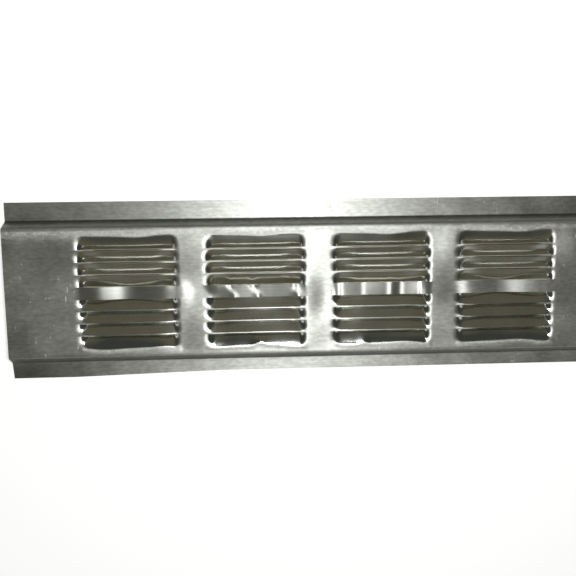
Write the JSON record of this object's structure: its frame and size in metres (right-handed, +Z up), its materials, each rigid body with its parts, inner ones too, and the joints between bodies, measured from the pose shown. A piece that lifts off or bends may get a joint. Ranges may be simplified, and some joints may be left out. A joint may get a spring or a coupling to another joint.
{
  "type": "strip soffit vent",
  "caption": "Cut length of pressed aluminium strip vent: a hat-section sheet with nailing flanges, groups of pressed louvres and raised centre bars, for letting air in under eaves.",
  "frame": {"origin": "under the middle of the strip's outline, on the plane of the two flanges' backs", "axes": "+X along the strip, +Y across it towards the wide flange, +Z up out of the louvred front panel"},
  "size_m": [0.2496, 0.0714, 0.0075],
  "materials": {
    "mill_aluminium": "bare mill finish with fine rolling grain along the strip"
  },
  "bodies": {
    "root": {"vent_strip": "mill_aluminium"}
  },
  "joints": []
}
